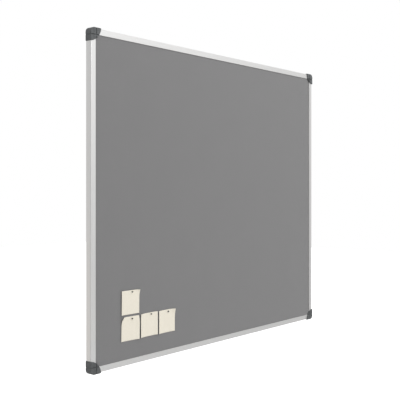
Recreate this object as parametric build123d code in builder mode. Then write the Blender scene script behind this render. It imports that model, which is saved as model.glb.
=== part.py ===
from build123d import *
import os

# A felt-faced pin board in an aluminium frame, hung on a wall, with four notes pinned to it.
# Millimetres. X runs to the right and Z up, with the origin at the middle of the board, on the
# wall. The board hangs in front of the wall plane Y = 0 and faces -Y, so every depth below is a
# distance in front of the wall.

# Frame
board_width = 1200.0
board_height = 1000.0
frame_face = 18.0
frame_depth = 21.0
frame_wall = 1.3
chamber_width = 7.7
lip_height = 2.3
front_edge_radius = 2.0
lip_edge_radius = 0.7
side_groove_width = 1.2
side_groove_depth = 0.7
side_groove_setback = 2.9
rear_fin_length = 5.7

# Panel, from the front to the back
felt_thickness = 1.0
cork_thickness = 4.0
core_thickness = 6.4
backing_thickness = 0.6
panel_gap = 0.3

# Corner brackets and the screws that hold them in the bars
bracket_leg_length = 55.0
bracket_leg_clearance = 0.15
bracket_leg_start = 8.0
bracket_corner_radius = 11.0
wall_hole_inset = 6.8
wall_hole_radius = 2.25
wall_head_radius = 4.2
wall_web_thickness = 6.0
screw_setback = 35.0
screw_radius = 1.45
screw_hole_radius = 1.6
screw_pilot_radius = 1.5
screw_head_radius = 2.55
screw_head_clearance = 0.05
screw_head_angle = 90.0
screw_length = 9.0
screw_pilot_depth = 10.0
screw_slot_length = 3.0
screw_slot_width = 0.6
screw_slot_depth = 0.5

# Corner caps
cap_arc_radius = 44.0
cap_arc_setback = 6.2
cap_proud = 2.2
cap_gap = 0.3
cap_plate = 3.0
cap_corner_radius = 14.0
cap_end_radius = 2.0
cap_edge_radius = 1.6
cap_groove_inset = 19.0
cap_groove_mouth = 2.8
cap_groove_floor = 2.0
cap_groove_depth = 2.1
cap_side_groove_depth = 0.9
cap_rim_thickness = 1.6
cap_rim_clearance = 0.25
peg_radius = 1.5
peg_length = 8.0
peg_socket_radius = 1.55
peg_socket_depth = 8.6
peg_far = 14.0
peg_near = 4.0

# Notes and pins
note_width = 76.0
note_height = 73.0
note_thickness = 0.2
note_hole_radius = 0.6
pin_head_gap = 0.15
pin_needle_radius = 0.5
pin_depth = 10.0
pin_tip_length = 2.0
pin_tip_radius = 0.06
pin_ball_radius = 2.2
pin_ball_rise = 3.0
pin_collar_radius = 1.5
pin_collar_height = 1.2
pin_seat_depth = 1.8
pin_hole_radius = 0.55

# Worked out from the above
panel_front = frame_depth - lip_height
panel_thickness = felt_thickness + cork_thickness + core_thickness + backing_thickness
panel_back = panel_front - panel_thickness
pocket_floor = 2 * frame_wall + chamber_width
panel_inset = pocket_floor + panel_gap
panel_width = board_width - 2 * panel_inset
panel_height = board_height - 2 * panel_inset
chamber_middle = frame_wall + chamber_width / 2
screw_hole_depth = 2 * frame_wall
cap_front = frame_depth + cap_gap + cap_plate

FRONT = Vector(0, -1, 0)
RIGHT = Vector(1, 0, 0)
UP = Vector(0, 0, 1)
WALL_PLANE = Plane.XZ
STANDING = (Align.CENTER, Align.CENTER, Align.MIN)

# A corner's plane has its origin at the frame's outer corner, on the wall. Its x and y run inward
# along the two bars that meet there, and its z towards the viewer.
CORNERS = {
    "bottom_left": Plane((-board_width / 2, 0, -board_height / 2), x_dir=RIGHT, z_dir=FRONT),
    "bottom_right": Plane((board_width / 2, 0, -board_height / 2), x_dir=UP, z_dir=FRONT),
    "top_right": Plane((board_width / 2, 0, board_height / 2), x_dir=-RIGHT, z_dir=FRONT),
    "top_left": Plane((-board_width / 2, 0, board_height / 2), x_dir=-UP, z_dir=FRONT),
}

# Each note: its left edge and its top edge on the board, how far its pin stands to the right of the
# left edge and below the top edge, and the gap behind the note.
NOTES = {
    "upper": (-478.4, -274.0, 43.4, 5.0, 1.6),
    "lower_left": (-478.6, -353.6, 44.6, 6.9, 0.4),
    "lower_middle": (-399.0, -352.5, 48.0, 5.0, 1.0),
    "lower_right": (-317.1, -353.5, 45.1, 6.0, 0.4),
}
PIN_PLACES = [(left + across, top - down) for left, top, across, down, _ in NOTES.values()]


def save(part, name):
    """Label one finished piece and write it to its own file."""
    part.label = name
    export_step(part, f"parts/{name}.step")


def bar_section():
    """The bar's section: x runs inward from the board's outer side, y from the wall to the front."""
    lip_inner = frame_face - frame_wall
    fin_tip = pocket_floor + rear_fin_length
    with BuildSketch() as section:
        with BuildLine():
            Polyline(
                (0, 0),
                (0, frame_depth),
                (frame_face, frame_depth),
                (frame_face, panel_front),
                (lip_inner, panel_front),
                (lip_inner, frame_depth - frame_wall),
                (pocket_floor, frame_depth - frame_wall),
                (pocket_floor, panel_back),
                (fin_tip, panel_back),
                (fin_tip, panel_back - frame_wall),
                (pocket_floor, panel_back - frame_wall),
                (pocket_floor, 0),
                close=True,
            )
        make_face()
        front_corners = section.vertices().group_by(Axis.Y)[-1].sort_by(Axis.X)
        fillet(front_corners[0], front_edge_radius)
        fillet(front_corners[1], lip_edge_radius)
        with Locations((frame_wall, frame_wall)):
            Rectangle(
                chamber_width,
                frame_depth - 2 * frame_wall,
                align=(Align.MIN, Align.MIN),
                mode=Mode.SUBTRACT,
            )
        with Locations((0, frame_depth - side_groove_setback)):
            Rectangle(2 * side_groove_depth, side_groove_width, mode=Mode.SUBTRACT)
    return section.sketch


def frame_bar(name, inward, half_span, length):
    """One hollow extruded bar, cut square, with countersunk screw holes in its rear wall."""
    along = inward.cross(FRONT)
    end = Plane(-inward * half_span - along * length / 2, x_dir=inward, z_dir=along)
    rear = Plane(-inward * (half_span - chamber_middle), x_dir=along, z_dir=-FRONT)
    with BuildPart() as bar:
        with BuildSketch(end):
            add(bar_section())
        extrude(amount=length)
        with Locations(rear):
            with GridLocations(length - 2 * screw_setback, 1, 2, 1):
                CounterSinkHole(
                    radius=screw_hole_radius,
                    counter_sink_radius=screw_head_radius + screw_head_clearance,
                    depth=screw_hole_depth,
                    counter_sink_angle=screw_head_angle,
                )
    save(bar.part, name)


def frame_screws():
    """Eight flat-headed self-tapping screws, two near each corner, flush with the rear."""
    along_x = board_width / 2 - frame_face - screw_setback
    along_z = board_height / 2 - frame_face - screw_setback
    edge_x = board_width / 2 - chamber_middle
    edge_z = board_height / 2 - chamber_middle
    lying = [(x, z) for x in (-along_x, along_x) for z in (-edge_z, edge_z)]
    standing = [(x, z) for x in (-edge_x, edge_x) for z in (-along_z, along_z)]
    with BuildPart(WALL_PLANE) as screws:
        with Locations(*lying, *standing):
            Cylinder(screw_radius, screw_length, align=STANDING)
            Cone(screw_head_radius, screw_radius, screw_head_radius - screw_radius, align=STANDING)
            Box(
                screw_slot_length,
                screw_slot_width,
                screw_slot_depth,
                align=STANDING,
                mode=Mode.SUBTRACT,
            )
            Box(
                screw_slot_width,
                screw_slot_length,
                screw_slot_depth,
                align=STANDING,
                mode=Mode.SUBTRACT,
            )
    save(screws.part, "frame_screws")


def corner_bracket(name, corner):
    """A moulded corner: a block between the two bars' ends, with one leg inside each bar."""
    leg_width = chamber_width - 2 * bracket_leg_clearance
    leg_span = frame_face - bracket_leg_start + bracket_leg_length
    leg_base = frame_wall + bracket_leg_clearance
    notch_width = frame_face - pocket_floor
    with BuildPart() as bracket:
        with BuildSketch(corner) as footprint:
            Rectangle(frame_face, frame_face, align=(Align.MIN, Align.MIN))
            fillet(footprint.vertices().sort_by(Axis((0, 0, 0), (1, 1, 0)))[0], bracket_corner_radius)
        extrude(amount=frame_depth)
        with BuildSketch(corner.offset(leg_base)):
            with Locations((bracket_leg_start, leg_base)):
                Rectangle(leg_span, leg_width, align=(Align.MIN, Align.MIN))
            with Locations((leg_base, bracket_leg_start)):
                Rectangle(leg_width, leg_span, align=(Align.MIN, Align.MIN))
        extrude(amount=frame_depth - 2 * leg_base)
        with BuildSketch(corner.offset(panel_back - panel_gap)):
            with Locations((pocket_floor, pocket_floor)):
                Rectangle(notch_width, notch_width, align=(Align.MIN, Align.MIN))
        extrude(amount=panel_thickness + 2 * panel_gap, mode=Mode.SUBTRACT)
        with Locations(corner.offset(frame_depth)):
            with Locations((wall_hole_inset, wall_hole_inset)):
                CounterBoreHole(
                    radius=wall_hole_radius,
                    counter_bore_radius=wall_head_radius,
                    counter_bore_depth=frame_depth - wall_web_thickness,
                    depth=frame_depth,
                )
            with Locations((peg_far, peg_near), (peg_near, peg_far)):
                Hole(peg_socket_radius, depth=peg_socket_depth)
        screw_reach = frame_face + screw_setback
        with BuildSketch(corner.offset(leg_base)):
            with Locations((screw_reach, chamber_middle), (chamber_middle, screw_reach)):
                Circle(screw_pilot_radius)
        extrude(amount=screw_pilot_depth, mode=Mode.SUBTRACT)
    save(bracket.part, name)


def groove_section(level, depth):
    """A groove's section: its wide mouth at the level, and a narrower floor at the depth below it."""
    mouth, floor = cap_groove_mouth / 2, cap_groove_floor / 2
    with BuildSketch() as section:
        with BuildLine():
            Polyline(
                (cap_groove_inset - mouth, level),
                (cap_groove_inset - floor, level + depth),
                (cap_groove_inset + floor, level + depth),
                (cap_groove_inset + mouth, level),
                close=True,
            )
        make_face()
    return section.sketch


def corner_cap(name, corner):
    """A moulded shell over the frame's corner, with two pegs that plug into the bracket."""
    diagonal = Axis((0, 0, 0), (1, 1, 0))
    arc_middle = (-cap_arc_setback, -cap_arc_setback)
    rim_start = frame_face + cap_gap
    with BuildPart() as cap:
        with BuildSketch(corner) as outline:
            with Locations(arc_middle):
                Circle(cap_arc_radius)
            with Locations((-cap_proud, -cap_proud)):
                Rectangle(
                    2 * cap_arc_radius,
                    2 * cap_arc_radius,
                    align=(Align.MIN, Align.MIN),
                    mode=Mode.INTERSECT,
                )
            fillet(outline.vertices().sort_by(diagonal)[0], cap_corner_radius)
            fillet(outline.vertices().sort_by(diagonal)[-2:], cap_end_radius)
        extrude(amount=cap_front)
        front_face = cap.faces().sort_by(Axis(corner.origin, corner.z_dir))[-1]
        fillet(front_face.edges(), cap_edge_radius)
        with BuildSketch(corner) as pocket:
            with Locations((-cap_gap, -cap_gap)):
                Rectangle(2 * cap_arc_radius, 2 * cap_arc_radius, align=(Align.MIN, Align.MIN))
            fillet(pocket.vertices().sort_by(diagonal)[0], bracket_corner_radius + cap_gap)
        extrude(amount=frame_depth + cap_gap, mode=Mode.SUBTRACT)
        with BuildSketch(corner.offset(panel_front + cap_rim_clearance)):
            with Locations(arc_middle):
                Circle(cap_arc_radius)
                Circle(cap_arc_radius - cap_rim_thickness, mode=Mode.SUBTRACT)
            with Locations((rim_start, rim_start)):
                Rectangle(
                    cap_arc_radius,
                    cap_arc_radius,
                    align=(Align.MIN, Align.MIN),
                    mode=Mode.INTERSECT,
                )
        extrude(amount=lip_height - cap_rim_clearance + 2 * cap_gap)
        with BuildSketch(corner.offset(frame_depth + 2 * cap_gap)):
            with Locations((peg_far, peg_near), (peg_near, peg_far)):
                Circle(peg_radius)
        extrude(amount=-peg_length - 2 * cap_gap)
        for inward, sideways in ((corner.x_dir, corner.y_dir), (corner.y_dir, corner.x_dir)):
            front = corner.origin + corner.z_dir * cap_front
            with BuildSketch(Plane(front, x_dir=inward, z_dir=inward.cross(corner.z_dir))):
                add(groove_section(0, -cap_groove_depth))
            extrude(amount=cap_arc_radius, both=True, mode=Mode.SUBTRACT)
            with BuildSketch(Plane(corner.origin, x_dir=inward, z_dir=inward.cross(sideways))):
                add(groove_section(-cap_proud, cap_side_groove_depth))
            extrude(amount=cap_front, both=True, mode=Mode.SUBTRACT)
    save(cap.part, name)


def panel_layer(name, back, thickness, hole_radius):
    """One full-size layer of the panel, pierced where the pins go through it."""
    with BuildPart() as layer:
        with BuildSketch(WALL_PLANE.offset(back)):
            Rectangle(panel_width, panel_height)
            if hole_radius:
                with Locations(*PIN_PLACES):
                    Circle(hole_radius, mode=Mode.SUBTRACT)
        extrude(amount=thickness)
    save(layer.part, name)


def core_board(back, thickness):
    """The soft fibre core, with blind holes where the pin points end."""
    reach = back + thickness - (panel_front - pin_depth) + panel_gap
    with BuildPart() as core:
        with BuildSketch(WALL_PLANE.offset(back)):
            Rectangle(panel_width, panel_height)
        extrude(amount=thickness)
        with BuildSketch(WALL_PLANE.offset(back + thickness)):
            with Locations(*PIN_PLACES):
                Circle(pin_hole_radius)
        extrude(amount=-reach, mode=Mode.SUBTRACT)
    save(core.part, "core_board")


def note(name, left, top, pin_x, pin_z, gap):
    """One sheet of paper, pierced for its pin."""
    with BuildPart() as paper:
        with BuildSketch(WALL_PLANE.offset(panel_front + gap)):
            with Locations((left, top)):
                Rectangle(note_width, note_height, align=(Align.MIN, Align.MAX))
            with Locations((pin_x, pin_z)):
                Circle(note_hole_radius, mode=Mode.SUBTRACT)
        extrude(amount=note_thickness)
    save(paper.part, name)


def pin_head(name, pin_x, pin_z, base):
    """A ball on a short collar, bored for the needle."""
    with BuildPart(Plane((pin_x, -base, pin_z), x_dir=RIGHT, z_dir=FRONT)) as head:
        Cylinder(pin_collar_radius, pin_collar_height, align=STANDING)
        with Locations((0, 0, pin_ball_rise)):
            Sphere(pin_ball_radius)
        Cylinder(pin_needle_radius, pin_seat_depth, align=STANDING, mode=Mode.SUBTRACT)
    save(head.part, name)


def pin_needle(name, pin_x, pin_z, base):
    """A steel needle with a ground point, from its seat in the head into the core board."""
    tip = panel_front - pin_depth
    shank = base + pin_seat_depth - tip - pin_tip_length
    with BuildPart(Plane((pin_x, -tip, pin_z), x_dir=RIGHT, z_dir=FRONT)) as needle:
        Cone(pin_tip_radius, pin_needle_radius, pin_tip_length, align=STANDING)
        with Locations((0, 0, pin_tip_length)):
            Cylinder(pin_needle_radius, shank, align=STANDING)
    save(needle.part, name)


os.makedirs("parts", exist_ok=True)

frame_bar("frame_top", -UP, board_height / 2, board_width - 2 * frame_face)
frame_bar("frame_bottom", UP, board_height / 2, board_width - 2 * frame_face)
frame_bar("frame_left", RIGHT, board_width / 2, board_height - 2 * frame_face)
frame_bar("frame_right", -RIGHT, board_width / 2, board_height - 2 * frame_face)
frame_screws()

for place, corner_plane in CORNERS.items():
    corner_bracket(f"corner_bracket_{place}", corner_plane)
    corner_cap(f"corner_cap_{place}", corner_plane)

core_back = panel_back + backing_thickness
cork_back = core_back + core_thickness
felt_back = cork_back + cork_thickness
panel_layer("backing_sheet", panel_back, backing_thickness, 0)
core_board(core_back, core_thickness)
panel_layer("cork_sheet", cork_back, cork_thickness, pin_hole_radius)
panel_layer("felt_face", felt_back, felt_thickness, pin_hole_radius)

for (place, (left, top, across, down, gap)), (pin_x, pin_z) in zip(NOTES.items(), PIN_PLACES):
    head_base = panel_front + gap + note_thickness + pin_head_gap
    note(f"note_{place}", left, top, pin_x, pin_z, gap)
    pin_head(f"pin_head_{place}", pin_x, pin_z, head_base)
    pin_needle(f"pin_needle_{place}", pin_x, pin_z, head_base)
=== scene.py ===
"""Looks for a wall-hung felt pin board: metal, moulded plastic, felt, paper and pins round the CAD frame.

Metres, in the CAD's own frame: X to the right, Z up, the wall is Y = 0 and the board faces -Y.
"""

import math

import bpy
import numpy as np
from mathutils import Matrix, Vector


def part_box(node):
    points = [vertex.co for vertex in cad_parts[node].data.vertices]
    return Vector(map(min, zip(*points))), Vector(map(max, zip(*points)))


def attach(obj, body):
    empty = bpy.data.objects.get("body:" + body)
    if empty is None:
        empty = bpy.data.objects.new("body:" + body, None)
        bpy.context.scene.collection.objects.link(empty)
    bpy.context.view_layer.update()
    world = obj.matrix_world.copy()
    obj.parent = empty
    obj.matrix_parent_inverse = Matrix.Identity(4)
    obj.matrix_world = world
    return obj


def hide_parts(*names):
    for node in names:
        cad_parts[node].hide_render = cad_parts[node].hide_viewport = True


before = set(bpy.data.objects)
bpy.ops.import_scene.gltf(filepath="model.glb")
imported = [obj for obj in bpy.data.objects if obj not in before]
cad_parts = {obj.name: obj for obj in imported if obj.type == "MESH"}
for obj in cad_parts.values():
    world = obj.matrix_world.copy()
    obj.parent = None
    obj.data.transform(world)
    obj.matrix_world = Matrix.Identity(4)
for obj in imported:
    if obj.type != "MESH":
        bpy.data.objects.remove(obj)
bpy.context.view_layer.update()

MM = 0.001

# Camera: level, to the left of the board and close to its mid height, as the board was photographed.
CAMERA_PLACE = (-2.0207, -1.6266, 0.0414)
CAMERA_YAW = math.radians(49.91)
CAMERA_LENS = 66.4
CAMERA_SENSOR = 36.0
CAMERA_SHIFT_UP = -0.0336
CAMERA_NEAR, CAMERA_FAR = 0.05, 60.0

# The surroundings and the floor look pure white. As light, only the surroundings glow.
WHITE = (1.0, 1.0, 1.0, 1.0)
SEEN_BRIGHTNESS = 1.0
ROOM_GLOW = 0.66
FLOOR_GLOW = 0.0
FLOOR_LEVEL = -1.5
FLOOR_REACH = 14.0

# Lamps, all soft disks: name, place, point aimed at, diameter, power in watts and colour.
LAMPS = [
    ("key", (1.6, -2.7, 2.1), (0.0, 0.0, 0.0), 4.5, 16.0, (1.0, 1.0, 1.0)),
    ("fill", (-0.5, -3.5, 2.8), (0.0, 0.0, 0.0), 2.5, 84.0, (1.0, 1.0, 1.0)),
    ("side", (-2.4, 1.8, -1.0), (-0.6, 0.0, -0.3), 1.6, 1.5, (1.0, 0.84, 0.70)),
]

NOTE_NAMES = ("upper", "lower_left", "lower_middle", "lower_right")
CORNER_NAMES = ("top_left", "top_right", "bottom_left", "bottom_right")

# Felt face: the spacing of its grid, closer round each pin, and the faint relief of its surface.
FELT_STEP = 8 * MM
FELT_FINE_STEP = 0.75 * MM
FELT_FINE_REACH = 6 * MM
FELT_WAVE = 0.12 * MM
FELT_EDGE_FADE = 25 * MM
DIMPLE_RADIUS = 2.6 * MM
DIMPLE_DEPTH = 0.45 * MM
FELT_THICKNESS_SHARE = 0.9

# Notes: the grid lines across and up each one, and the paper's thickness.
NOTE_COLUMNS, NOTE_ROWS = 53, 49
PAPER_THICKNESS = 0.16 * MM

# How each note bends away from the board. A bend is (direction across the note, length of paper
# that bends, radius), in millimetres: beyond its line the paper rolls towards the viewer round that
# radius. A negative radius rolls it back again. Directions are steps across and up the note.
LEFT, RIGHT = (-1, 0), (1, 0)
TOP_LEFT, TOP_RIGHT, UP_AND_LEFT, LEFT_AND_UP = (-1, 1), (1, 1), (-1, 2), (-2, 1)
NOTE_BENDS = {
    "upper": [(TOP_RIGHT, 15, 20), (LEFT, 26, 200)],
    "lower_left": [
        (UP_AND_LEFT, 12, 16),
        (LEFT_AND_UP, 14, 18),
        (LEFT, 20, 120),
        (RIGHT, 26, 88),
        (TOP_RIGHT, 18, -43),
    ],
    "lower_middle": [(TOP_LEFT, 14, 60), (RIGHT, 24, 75), (LEFT, 24, 80)],
    "lower_right": [(TOP_RIGHT, 24, 62), (LEFT, 20, 52), (RIGHT, 18, 60)],
}

# How far each note hangs out of true, in degrees: positive lowers its right side.
NOTE_LEANS = {"upper": 0.7, "lower_left": 1.0, "lower_middle": -0.4, "lower_right": 0.0}


# ---------------------------------------------------------------- shader helpers


class Shader:
    """A procedural material under construction, with short names for the nodes it uses.

    Noise scales count features per metre, because the coordinates are the object's own, in metres.
    """

    def __init__(self, name, **settings):
        self.material = bpy.data.materials.new(name)
        self.material.use_nodes = True
        self.nodes = self.material.node_tree.nodes
        self.links = self.material.node_tree.links
        self.principled = self.nodes["Principled BSDF"]
        self.place = self.nodes.new("ShaderNodeTexCoord").outputs["Object"]
        for socket, value in settings.items():
            self.principled.inputs[socket.replace("_", " ")].default_value = value

    def scaled(self, scale):
        """Object coordinates, multiplied by a scale along each axis, for noise that is stretched."""
        node = self.nodes.new("ShaderNodeMapping")
        node.inputs["Scale"].default_value = scale
        self.links.new(self.place, node.inputs["Vector"])
        return node.outputs["Vector"]

    def noise(self, scale, detail=2.0, roughness=0.5, distortion=0.0, vector=None):
        """Cloudy noise, mostly between 0.3 and 0.7."""
        node = self.nodes.new("ShaderNodeTexNoise")
        node.inputs["Scale"].default_value = scale
        node.inputs["Detail"].default_value = detail
        node.inputs["Roughness"].default_value = roughness
        node.inputs["Distortion"].default_value = distortion
        self.links.new(vector or self.place, node.inputs["Vector"])
        return node.outputs["Fac"]

    def cells(self, scale):
        """Rounded granules: the distance from the middle of each."""
        node = self.nodes.new("ShaderNodeTexVoronoi")
        node.inputs["Scale"].default_value = scale
        self.links.new(self.place, node.inputs["Vector"])
        return node.outputs["Distance"]

    def remap(self, value, low, high, to_low, to_high):
        """value from low..high to to_low..to_high, clamped."""
        node = self.nodes.new("ShaderNodeMapRange")
        for socket, number in zip(("From Min", "From Max", "To Min", "To Max"), (low, high, to_low, to_high)):
            node.inputs[socket].default_value = number
        self.links.new(value, node.inputs["Value"])
        return node.outputs["Result"]

    def share(self, value, low=0.3, high=0.7, most=1.0):
        """How much of a second colour to blend in: none up to low, and the most from high on."""
        return self.remap(value, low, high, 0.0, most)

    def combine(self, operation, a, b):
        """Two sockets or numbers, added or multiplied."""
        node = self.nodes.new("ShaderNodeMath")
        node.operation = operation
        for socket, value in zip(node.inputs, (a, b)):
            if isinstance(value, (int, float)):
                socket.default_value = value
            else:
                self.links.new(value, socket)
        return node.outputs["Value"]

    def blend(self, factor, a, b):
        """Colour a where factor is 0, b where it is 1."""
        node = self.nodes.new("ShaderNodeMix")
        node.data_type = "RGBA"
        self.links.new(factor, node.inputs["Factor"])
        for name, value in (("A", a), ("B", b)):
            target = [socket for socket in node.inputs if socket.name == name and socket.type == "RGBA"][0]
            if isinstance(value, tuple):
                target.default_value = (*value, 1.0)
            else:
                self.links.new(value, target)
        return [socket for socket in node.outputs if socket.type == "RGBA"][0]

    def bump(self, height, distance, strength, after=None):
        """Fine relief of the given depth, on top of the relief that comes before it."""
        node = self.nodes.new("ShaderNodeBump")
        node.inputs["Distance"].default_value = distance
        node.inputs["Strength"].default_value = strength
        self.links.new(height, node.inputs["Height"])
        if after is not None:
            self.links.new(after, node.inputs["Normal"])
        return node.outputs["Normal"]

    def finish(self, colour, roughness, normal=None):
        """Connect the finished colour, roughness and relief, and give back the material."""
        for socket, value in (("Base Color", colour), ("Roughness", roughness), ("Normal", normal)):
            if value is not None:
                self.links.new(value, self.principled.inputs[socket])
        return self.material


# ---------------------------------------------------------------- materials


def anodised_aluminium(name, stretch):
    """Satin anodised extrusion: fine drawing lines along the bar, faint mottling, a few rubbed streaks."""
    s = Shader(name, Metallic=1.0, IOR=1.5)
    lines = s.noise(1.0, detail=3.0, roughness=0.6, vector=s.scaled(stretch))
    clouds = s.noise(14.0, detail=3.0)
    rubbed = s.share(s.noise(60.0, detail=5.0, roughness=0.7), 0.62, 0.75)
    tone = s.blend(s.share(lines), (0.795, 0.792, 0.785), (0.885, 0.884, 0.88))
    tone = s.blend(s.share(clouds, 0.35, 0.65, 0.5), tone, (0.845, 0.836, 0.822))
    tone = s.blend(s.combine("MULTIPLY", rubbed, 0.25), tone, (0.92, 0.92, 0.915))
    rough = s.combine("ADD", s.remap(lines, 0.3, 0.7, 0.4, 0.48), s.combine("MULTIPLY", rubbed, -0.05))
    return s.finish(tone, rough, s.bump(lines, 0.012 * MM, 0.15))


def moulded_plastic(name, dark, light, grain=1500.0):
    """Spark-eroded ABS: a fine pebbled grain, slightly uneven colour, small lighter high spots."""
    s = Shader(name, IOR=1.5, Specular_IOR_Level=0.5)
    pebbles = s.noise(grain, detail=2.0, roughness=0.55)
    flow = s.noise(45.0, detail=4.0, roughness=0.6)
    tone = s.blend(s.share(flow), dark, light)
    tone = s.blend(s.share(pebbles, 0.55, 0.8, 0.35), tone, light)
    rough = s.combine("ADD", s.remap(pebbles, 0.3, 0.7, 0.42, 0.56), s.remap(flow, 0.3, 0.7, -0.03, 0.03))
    return s.finish(tone, rough, s.bump(pebbles, 0.03 * MM, 0.8))


def pressed_felt():
    """Matted short fibres in several greys, a little fluff, and very soft large-scale mottling."""
    s = Shader("felt", Sheen_Weight=0.35, Sheen_Roughness=0.6, Specular_IOR_Level=0.15)
    across = s.noise(1.0, detail=4.0, roughness=0.65, distortion=1.2, vector=s.scaled((2600.0, 900.0, 700.0)))
    along = s.noise(1.0, detail=4.0, roughness=0.65, distortion=1.2, vector=s.scaled((700.0, 900.0, 2600.0)))
    fibres = s.combine("MULTIPLY", s.combine("ADD", across, along), 0.5)
    tufts = s.noise(240.0, detail=3.0, roughness=0.6, distortion=0.4)
    mottling = s.noise(9.0, detail=3.0)
    tone = s.blend(s.share(fibres, 0.36, 0.64), (0.145, 0.144, 0.146), (0.23, 0.228, 0.229))
    tone = s.blend(s.share(tufts, 0.35, 0.7, 0.35), tone, (0.202, 0.199, 0.201))
    tone = s.blend(s.share(mottling, 0.35, 0.65, 0.25), tone, (0.177, 0.176, 0.178))
    rough = s.remap(fibres, 0.3, 0.7, 0.88, 1.0)
    fluff = s.bump(tufts, 0.25 * MM, 0.5)
    return s.finish(tone, rough, s.bump(fibres, 0.12 * MM, 0.8, after=fluff))


def note_paper():
    """Uncoated cream paper with faint fibre cloud and tooth."""
    s = Shader("paper", Specular_IOR_Level=0.25)
    pulp = s.noise(260.0, detail=6.0, roughness=0.6)
    fibres = s.noise(1.0, detail=3.0, distortion=1.5, vector=s.scaled((3200.0, 3200.0, 1100.0)))
    tone = s.blend(s.share(pulp), (0.82, 0.768, 0.655), (0.867, 0.82, 0.711))
    tone = s.blend(s.share(fibres, 0.6, 0.75, 0.25), tone, (0.765, 0.703, 0.585))
    rough = s.remap(pulp, 0.3, 0.7, 0.78, 0.9)
    return s.finish(tone, rough, s.bump(pulp, 0.02 * MM, 0.6))


def glossy_pin():
    """Injection-moulded polystyrene, glossy, with faint flow marks."""
    s = Shader("pin_head", IOR=1.55, Coat_Weight=0.3, Coat_Roughness=0.08)
    flow = s.noise(420.0, detail=3.0)
    tone = s.blend(s.share(flow), (0.035, 0.035, 0.038), (0.06, 0.06, 0.064))
    return s.finish(tone, s.remap(flow, 0.3, 0.7, 0.18, 0.28), s.bump(flow, 0.02 * MM, 0.3))


def ground_steel(name, colour, rough_low, rough_high, grain):
    """Plated or ground steel with a fine random grain, a little darker in its marks."""
    mark_tone = 0.82
    s = Shader(name, Metallic=1.0)
    marks = s.noise(grain, detail=4.0, roughness=0.65)
    darker = tuple(mark_tone * channel for channel in colour)
    tone = s.blend(s.share(marks), darker, colour)
    return s.finish(tone, s.remap(marks, 0.3, 0.7, rough_low, rough_high), s.bump(marks, 0.01 * MM, 0.5))


def kraft_liner():
    """Brown-grey paper backing with flecks and a faint machine direction."""
    s = Shader("backing", Specular_IOR_Level=0.2)
    pulp = s.noise(120.0, detail=6.0, roughness=0.65)
    grain = s.noise(1.0, detail=4.0, vector=s.scaled((30.0, 400.0, 900.0)))
    flecks = s.share(s.noise(700.0, detail=2.0), 0.66, 0.72, 0.6)
    tone = s.blend(s.share(pulp), (0.36, 0.30, 0.225), (0.46, 0.395, 0.305))
    tone = s.blend(s.share(grain, 0.35, 0.65, 0.4), tone, (0.42, 0.35, 0.265))
    tone = s.blend(flecks, tone, (0.2, 0.155, 0.11))
    return s.finish(tone, s.remap(pulp, 0.3, 0.7, 0.8, 0.95), s.bump(grain, 0.06 * MM, 0.6))


def ground_cork():
    """Pressed cork granules with dark grains between them."""
    s = Shader("cork", Specular_IOR_Level=0.2)
    granules = s.cells(420.0)
    grain = s.noise(900.0, detail=4.0)
    tone = s.blend(s.share(granules, 0.0, 0.9), (0.30, 0.17, 0.08), (0.58, 0.39, 0.22))
    tone = s.blend(s.share(grain, 0.6, 0.75, 0.7), tone, (0.13, 0.07, 0.035))
    return s.finish(tone, s.remap(grain, 0.3, 0.7, 0.8, 0.95), s.bump(granules, 0.2 * MM, 0.6))


def soft_fibreboard():
    """Pale brown fibreboard, coarse and matt."""
    s = Shader("core", Specular_IOR_Level=0.15)
    fibres = s.noise(1.0, detail=5.0, distortion=1.0, vector=s.scaled((500.0, 1400.0, 500.0)))
    tone = s.blend(s.share(fibres), (0.34, 0.25, 0.16), (0.52, 0.42, 0.30))
    return s.finish(tone, s.remap(fibres, 0.3, 0.7, 0.85, 0.98), s.bump(fibres, 0.15 * MM, 0.7))


def seen_or_lit(nodes, links, seen, lit):
    """One strength where the camera looks straight at the stage, another for the light it gives off."""
    path = nodes.new("ShaderNodeLightPath")
    strength = nodes.new("ShaderNodeMapRange")
    strength.inputs["To Min"].default_value = lit
    strength.inputs["To Max"].default_value = seen
    links.new(path.outputs["Is Camera Ray"], strength.inputs["Value"])
    return strength.outputs["Result"]


def stage_floor():
    """Plain pale floor with the slightest unevenness. The camera sees it as white as the surroundings."""
    s = Shader("floor", Specular_IOR_Level=0.1)
    patches = s.noise(1.5, detail=2.0)
    tone = s.blend(s.share(patches), (0.74, 0.74, 0.74), (0.76, 0.76, 0.76))
    glow = seen_or_lit(s.nodes, s.links, SEEN_BRIGHTNESS, FLOOR_GLOW)
    s.principled.inputs["Emission Color"].default_value = WHITE
    s.links.new(glow, s.principled.inputs["Emission Strength"])
    return s.finish(tone, s.remap(patches, 0.3, 0.7, 0.85, 0.9))


# ---------------------------------------------------------------- carried-over CAD nodes


def paint(node_names, material):
    """Give CAD nodes their material. Their meshes and places stay as they are."""
    for name in node_names:
        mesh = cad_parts[name].data
        mesh.materials.clear()
        mesh.materials.append(material)


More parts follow.
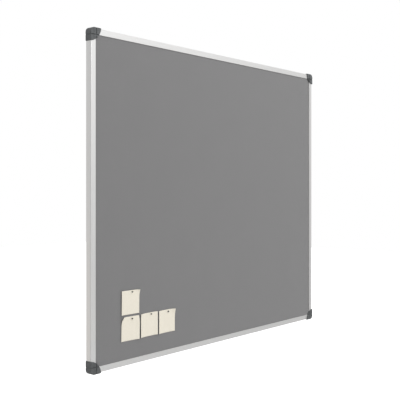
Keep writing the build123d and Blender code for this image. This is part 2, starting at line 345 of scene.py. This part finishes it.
def paint_hard_pieces():
    """Every piece that keeps its CAD mesh: the frame, caps, fixings, pins and the layers behind the felt."""
    lying = anodised_aluminium("aluminium_lying", (3.0, 2600.0, 2600.0))
    standing = anodised_aluminium("aluminium_standing", (2600.0, 2600.0, 3.0))
    caps = moulded_plastic("caps", (0.066, 0.07, 0.072), (0.123, 0.129, 0.133))
    brackets = moulded_plastic("brackets", (0.022, 0.022, 0.023), (0.04, 0.04, 0.041), grain=900.0)
    zinc = ground_steel("zinc", (0.66, 0.67, 0.66), 0.28, 0.42, grain=800.0)
    needle = ground_steel("needle", (0.75, 0.75, 0.75), 0.15, 0.25, grain=3000.0)
    paint(["frame_top", "frame_bottom"], lying)
    paint(["frame_left", "frame_right"], standing)
    paint([f"corner_cap_{corner}" for corner in CORNER_NAMES], caps)
    paint([f"corner_bracket_{corner}" for corner in CORNER_NAMES], brackets)
    paint(["frame_screws"], zinc)
    paint([f"pin_needle_{note}" for note in NOTE_NAMES], needle)
    paint([f"pin_head_{note}" for note in NOTE_NAMES], glossy_pin())
    paint(["backing_sheet"], kraft_liner())
    paint(["cork_sheet"], ground_cork())
    paint(["core_board"], soft_fibreboard())


# ---------------------------------------------------------------- mesh helpers


def grid_mesh(name, xs, zs, place_of):
    """A smooth sheet over the grid xs by zs. place_of(x, z) gives each point's place as x, y, z."""
    points = [place_of(x, z) for z in zs for x in xs]
    wide = len(xs)
    faces = [
        (row * wide + i, row * wide + i + 1, (row + 1) * wide + i + 1, (row + 1) * wide + i)
        for row in range(len(zs) - 1)
        for i in range(wide - 1)
    ]
    mesh = bpy.data.meshes.new(name)
    mesh.from_pydata(points, [], faces)
    mesh.polygons.foreach_set("use_smooth", [True] * len(faces))
    mesh.update()
    piece = bpy.data.objects.new(name, mesh)
    bpy.context.scene.collection.objects.link(piece)
    return piece


def thicken(piece, thickness):
    """Give a sheet its thickness, behind the side that faces the viewer."""
    modifier = piece.modifiers.new("thickness", "SOLIDIFY")
    modifier.thickness = thickness
    modifier.offset = -1.0


def pin_place(name):
    """x and z of a note's pin, from its needle's box."""
    low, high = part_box(f"pin_needle_{name}")
    return (low.x + high.x) / 2, (low.z + high.z) / 2


# ---------------------------------------------------------------- felt face


def lines_with_detail(low, high, centres):
    """Grid lines of the felt from low to high, closer together near each centre."""
    lines = set(np.linspace(low, high, round((high - low) / FELT_STEP) + 1))
    for centre in centres:
        lines |= set(
            np.arange(centre - FELT_FINE_REACH, centre + FELT_FINE_REACH + FELT_FINE_STEP / 2, FELT_FINE_STEP)
        )
    closest = FELT_FINE_STEP / 3
    kept = []
    for line in sorted(lines):
        if not kept or line - kept[-1] > closest:
            kept.append(line)
    kept[-1] = high
    return kept


def swell(x, z):
    """The felt's broad low waves, from -1 to 1: two sets of them, one slanting and weaker."""
    slanting_share = 0.6
    straight = math.sin(31 * x + 2.0) * math.sin(27 * z + 0.7)
    slanting = math.sin(71 * x - 53 * z)
    return (straight + slanting_share * slanting) / (1 + slanting_share)


def felt_face():
    """The felt sheet, glued flat: the faintest waves, and a small dimple where each pin presses in."""
    low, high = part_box("felt_face")
    pins = [pin_place(name) for name in NOTE_NAMES]

    def place(x, z):
        inside = min(x - low.x, high.x - x, z - low.z, high.z - z)
        fade = min(1.0, max(0.0, inside / FELT_EDGE_FADE))
        y = low.y + FELT_WAVE * (1 + swell(x, z)) * fade / 2
        for pin_x, pin_z in pins:
            away = math.hypot(x - pin_x, z - pin_z) / DIMPLE_RADIUS
            y += DIMPLE_DEPTH * math.exp(-away * away)
        return (x, y, z)

    xs = lines_with_detail(low.x, high.x, [pin_x for pin_x, pin_z in pins])
    zs = lines_with_detail(low.z, high.z, [pin_z for pin_x, pin_z in pins])
    piece = grid_mesh("felt_cloth", xs, zs, place)
    thicken(piece, FELT_THICKNESS_SHARE * (high.y - low.y))
    piece.data.materials.append(pressed_felt())
    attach(piece, "board")
    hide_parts("felt_face")


# ---------------------------------------------------------------- notes


def bend_point(across, up, half_x, half_z, bends):
    """Where a point of a flat note goes when the note bends: across and up from its middle, and forward.

    Each bend's line is drawn on the flat note, and what the bends do is added up.
    """
    bent_across, bent_up, forward = across, up, 0.0
    for (toward_x, toward_z), length, radius in bends:
        size = math.hypot(toward_x, toward_z)
        step_x, step_z = toward_x / size, toward_z / size
        edge = abs(step_x) * half_x + abs(step_z) * half_z
        past = across * step_x + up * step_z - (edge - length * MM)
        if past > 0:
            turned = past / (radius * MM)
            drawn_in = past - radius * MM * math.sin(turned)
            bent_across -= step_x * drawn_in
            bent_up -= step_z * drawn_in
            forward += radius * MM * (1 - math.cos(turned))
    return bent_across, bent_up, forward


def bent_note(name, material):
    """One paper note: flat near its pin, rolled at its edges and corners, and leaning on its pin."""
    low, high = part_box(f"note_{name}")
    middle_x, middle_z = (low.x + high.x) / 2, (low.z + high.z) / 2
    half_x, half_z = (high.x - low.x) / 2, (high.z - low.z) / 2
    pin_x, pin_z = pin_place(name)
    lean = math.radians(NOTE_LEANS[name])

    def place(x, z):
        across, up, forward = bend_point(x - middle_x, z - middle_z, half_x, half_z, NOTE_BENDS[name])
        from_pin_x, from_pin_z = middle_x + across - pin_x, middle_z + up - pin_z
        turned_x = pin_x + from_pin_x * math.cos(lean) + from_pin_z * math.sin(lean)
        turned_z = pin_z - from_pin_x * math.sin(lean) + from_pin_z * math.cos(lean)
        return (turned_x, high.y - PAPER_THICKNESS - forward, turned_z)

    xs = np.linspace(low.x, high.x, NOTE_COLUMNS)
    zs = np.linspace(low.z, high.z, NOTE_ROWS)
    piece = grid_mesh(f"paper_{name}", xs, zs, place)
    thicken(piece, PAPER_THICKNESS)
    piece.data.materials.append(material)
    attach(piece, f"note_{name}")
    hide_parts(f"note_{name}")


# ---------------------------------------------------------------- stage


def area_light(name, place, aim, size, power, colour):
    """A soft round lamp at place, turned towards aim."""
    light = bpy.data.lights.new(name, "AREA")
    light.shape = "DISK"
    light.size = size
    light.energy = power
    light.color = colour
    lamp = bpy.data.objects.new(name, light)
    bpy.context.scene.collection.objects.link(lamp)
    lamp.location = place
    lamp.rotation_euler = (Vector(aim) - Vector(place)).to_track_quat("-Z", "Y").to_euler()


def white_surroundings():
    """A plain white world all round, which also gives off the even part of the light."""
    world = bpy.data.worlds.new("studio")
    bpy.context.scene.world = world
    world.use_nodes = True
    nodes, links = world.node_tree.nodes, world.node_tree.links
    background = nodes["Background"]
    background.inputs["Color"].default_value = WHITE
    links.new(seen_or_lit(nodes, links, SEEN_BRIGHTNESS, ROOM_GLOW), background.inputs["Strength"])


def pale_floor():
    """A large square well below the board."""
    reach = FLOOR_REACH
    corners = [(-reach, -reach), (reach, -reach), (reach, reach), (-reach, reach)]
    mesh = bpy.data.meshes.new("floor")
    mesh.from_pydata([(x, y, FLOOR_LEVEL) for x, y in corners], [], [(0, 1, 2, 3)])
    mesh.materials.append(stage_floor())
    floor = bpy.data.objects.new("floor", mesh)
    bpy.context.scene.collection.objects.link(floor)


def studio():
    """White surroundings, the soft lamps, and a pale floor below."""
    white_surroundings()
    for lamp in LAMPS:
        area_light(*lamp)
    pale_floor()
    bpy.context.scene.view_settings.view_transform = "Standard"


def camera():
    """A level camera, turned to the right by its yaw from looking straight at the wall."""
    data = bpy.data.cameras.new("camera")
    data.lens = CAMERA_LENS
    data.sensor_width = CAMERA_SENSOR
    data.shift_y = CAMERA_SHIFT_UP
    data.clip_start = CAMERA_NEAR
    data.clip_end = CAMERA_FAR
    shooter = bpy.data.objects.new("camera", data)
    bpy.context.scene.collection.objects.link(shooter)
    shooter.location = CAMERA_PLACE
    shooter.rotation_euler = (math.pi / 2, 0.0, -CAMERA_YAW)
    bpy.context.scene.camera = shooter


# ---------------------------------------------------------------- the board

camera()
studio()
paint_hard_pieces()
felt_face()
paper = note_paper()
for note_name in NOTE_NAMES:
    bent_note(note_name, paper)
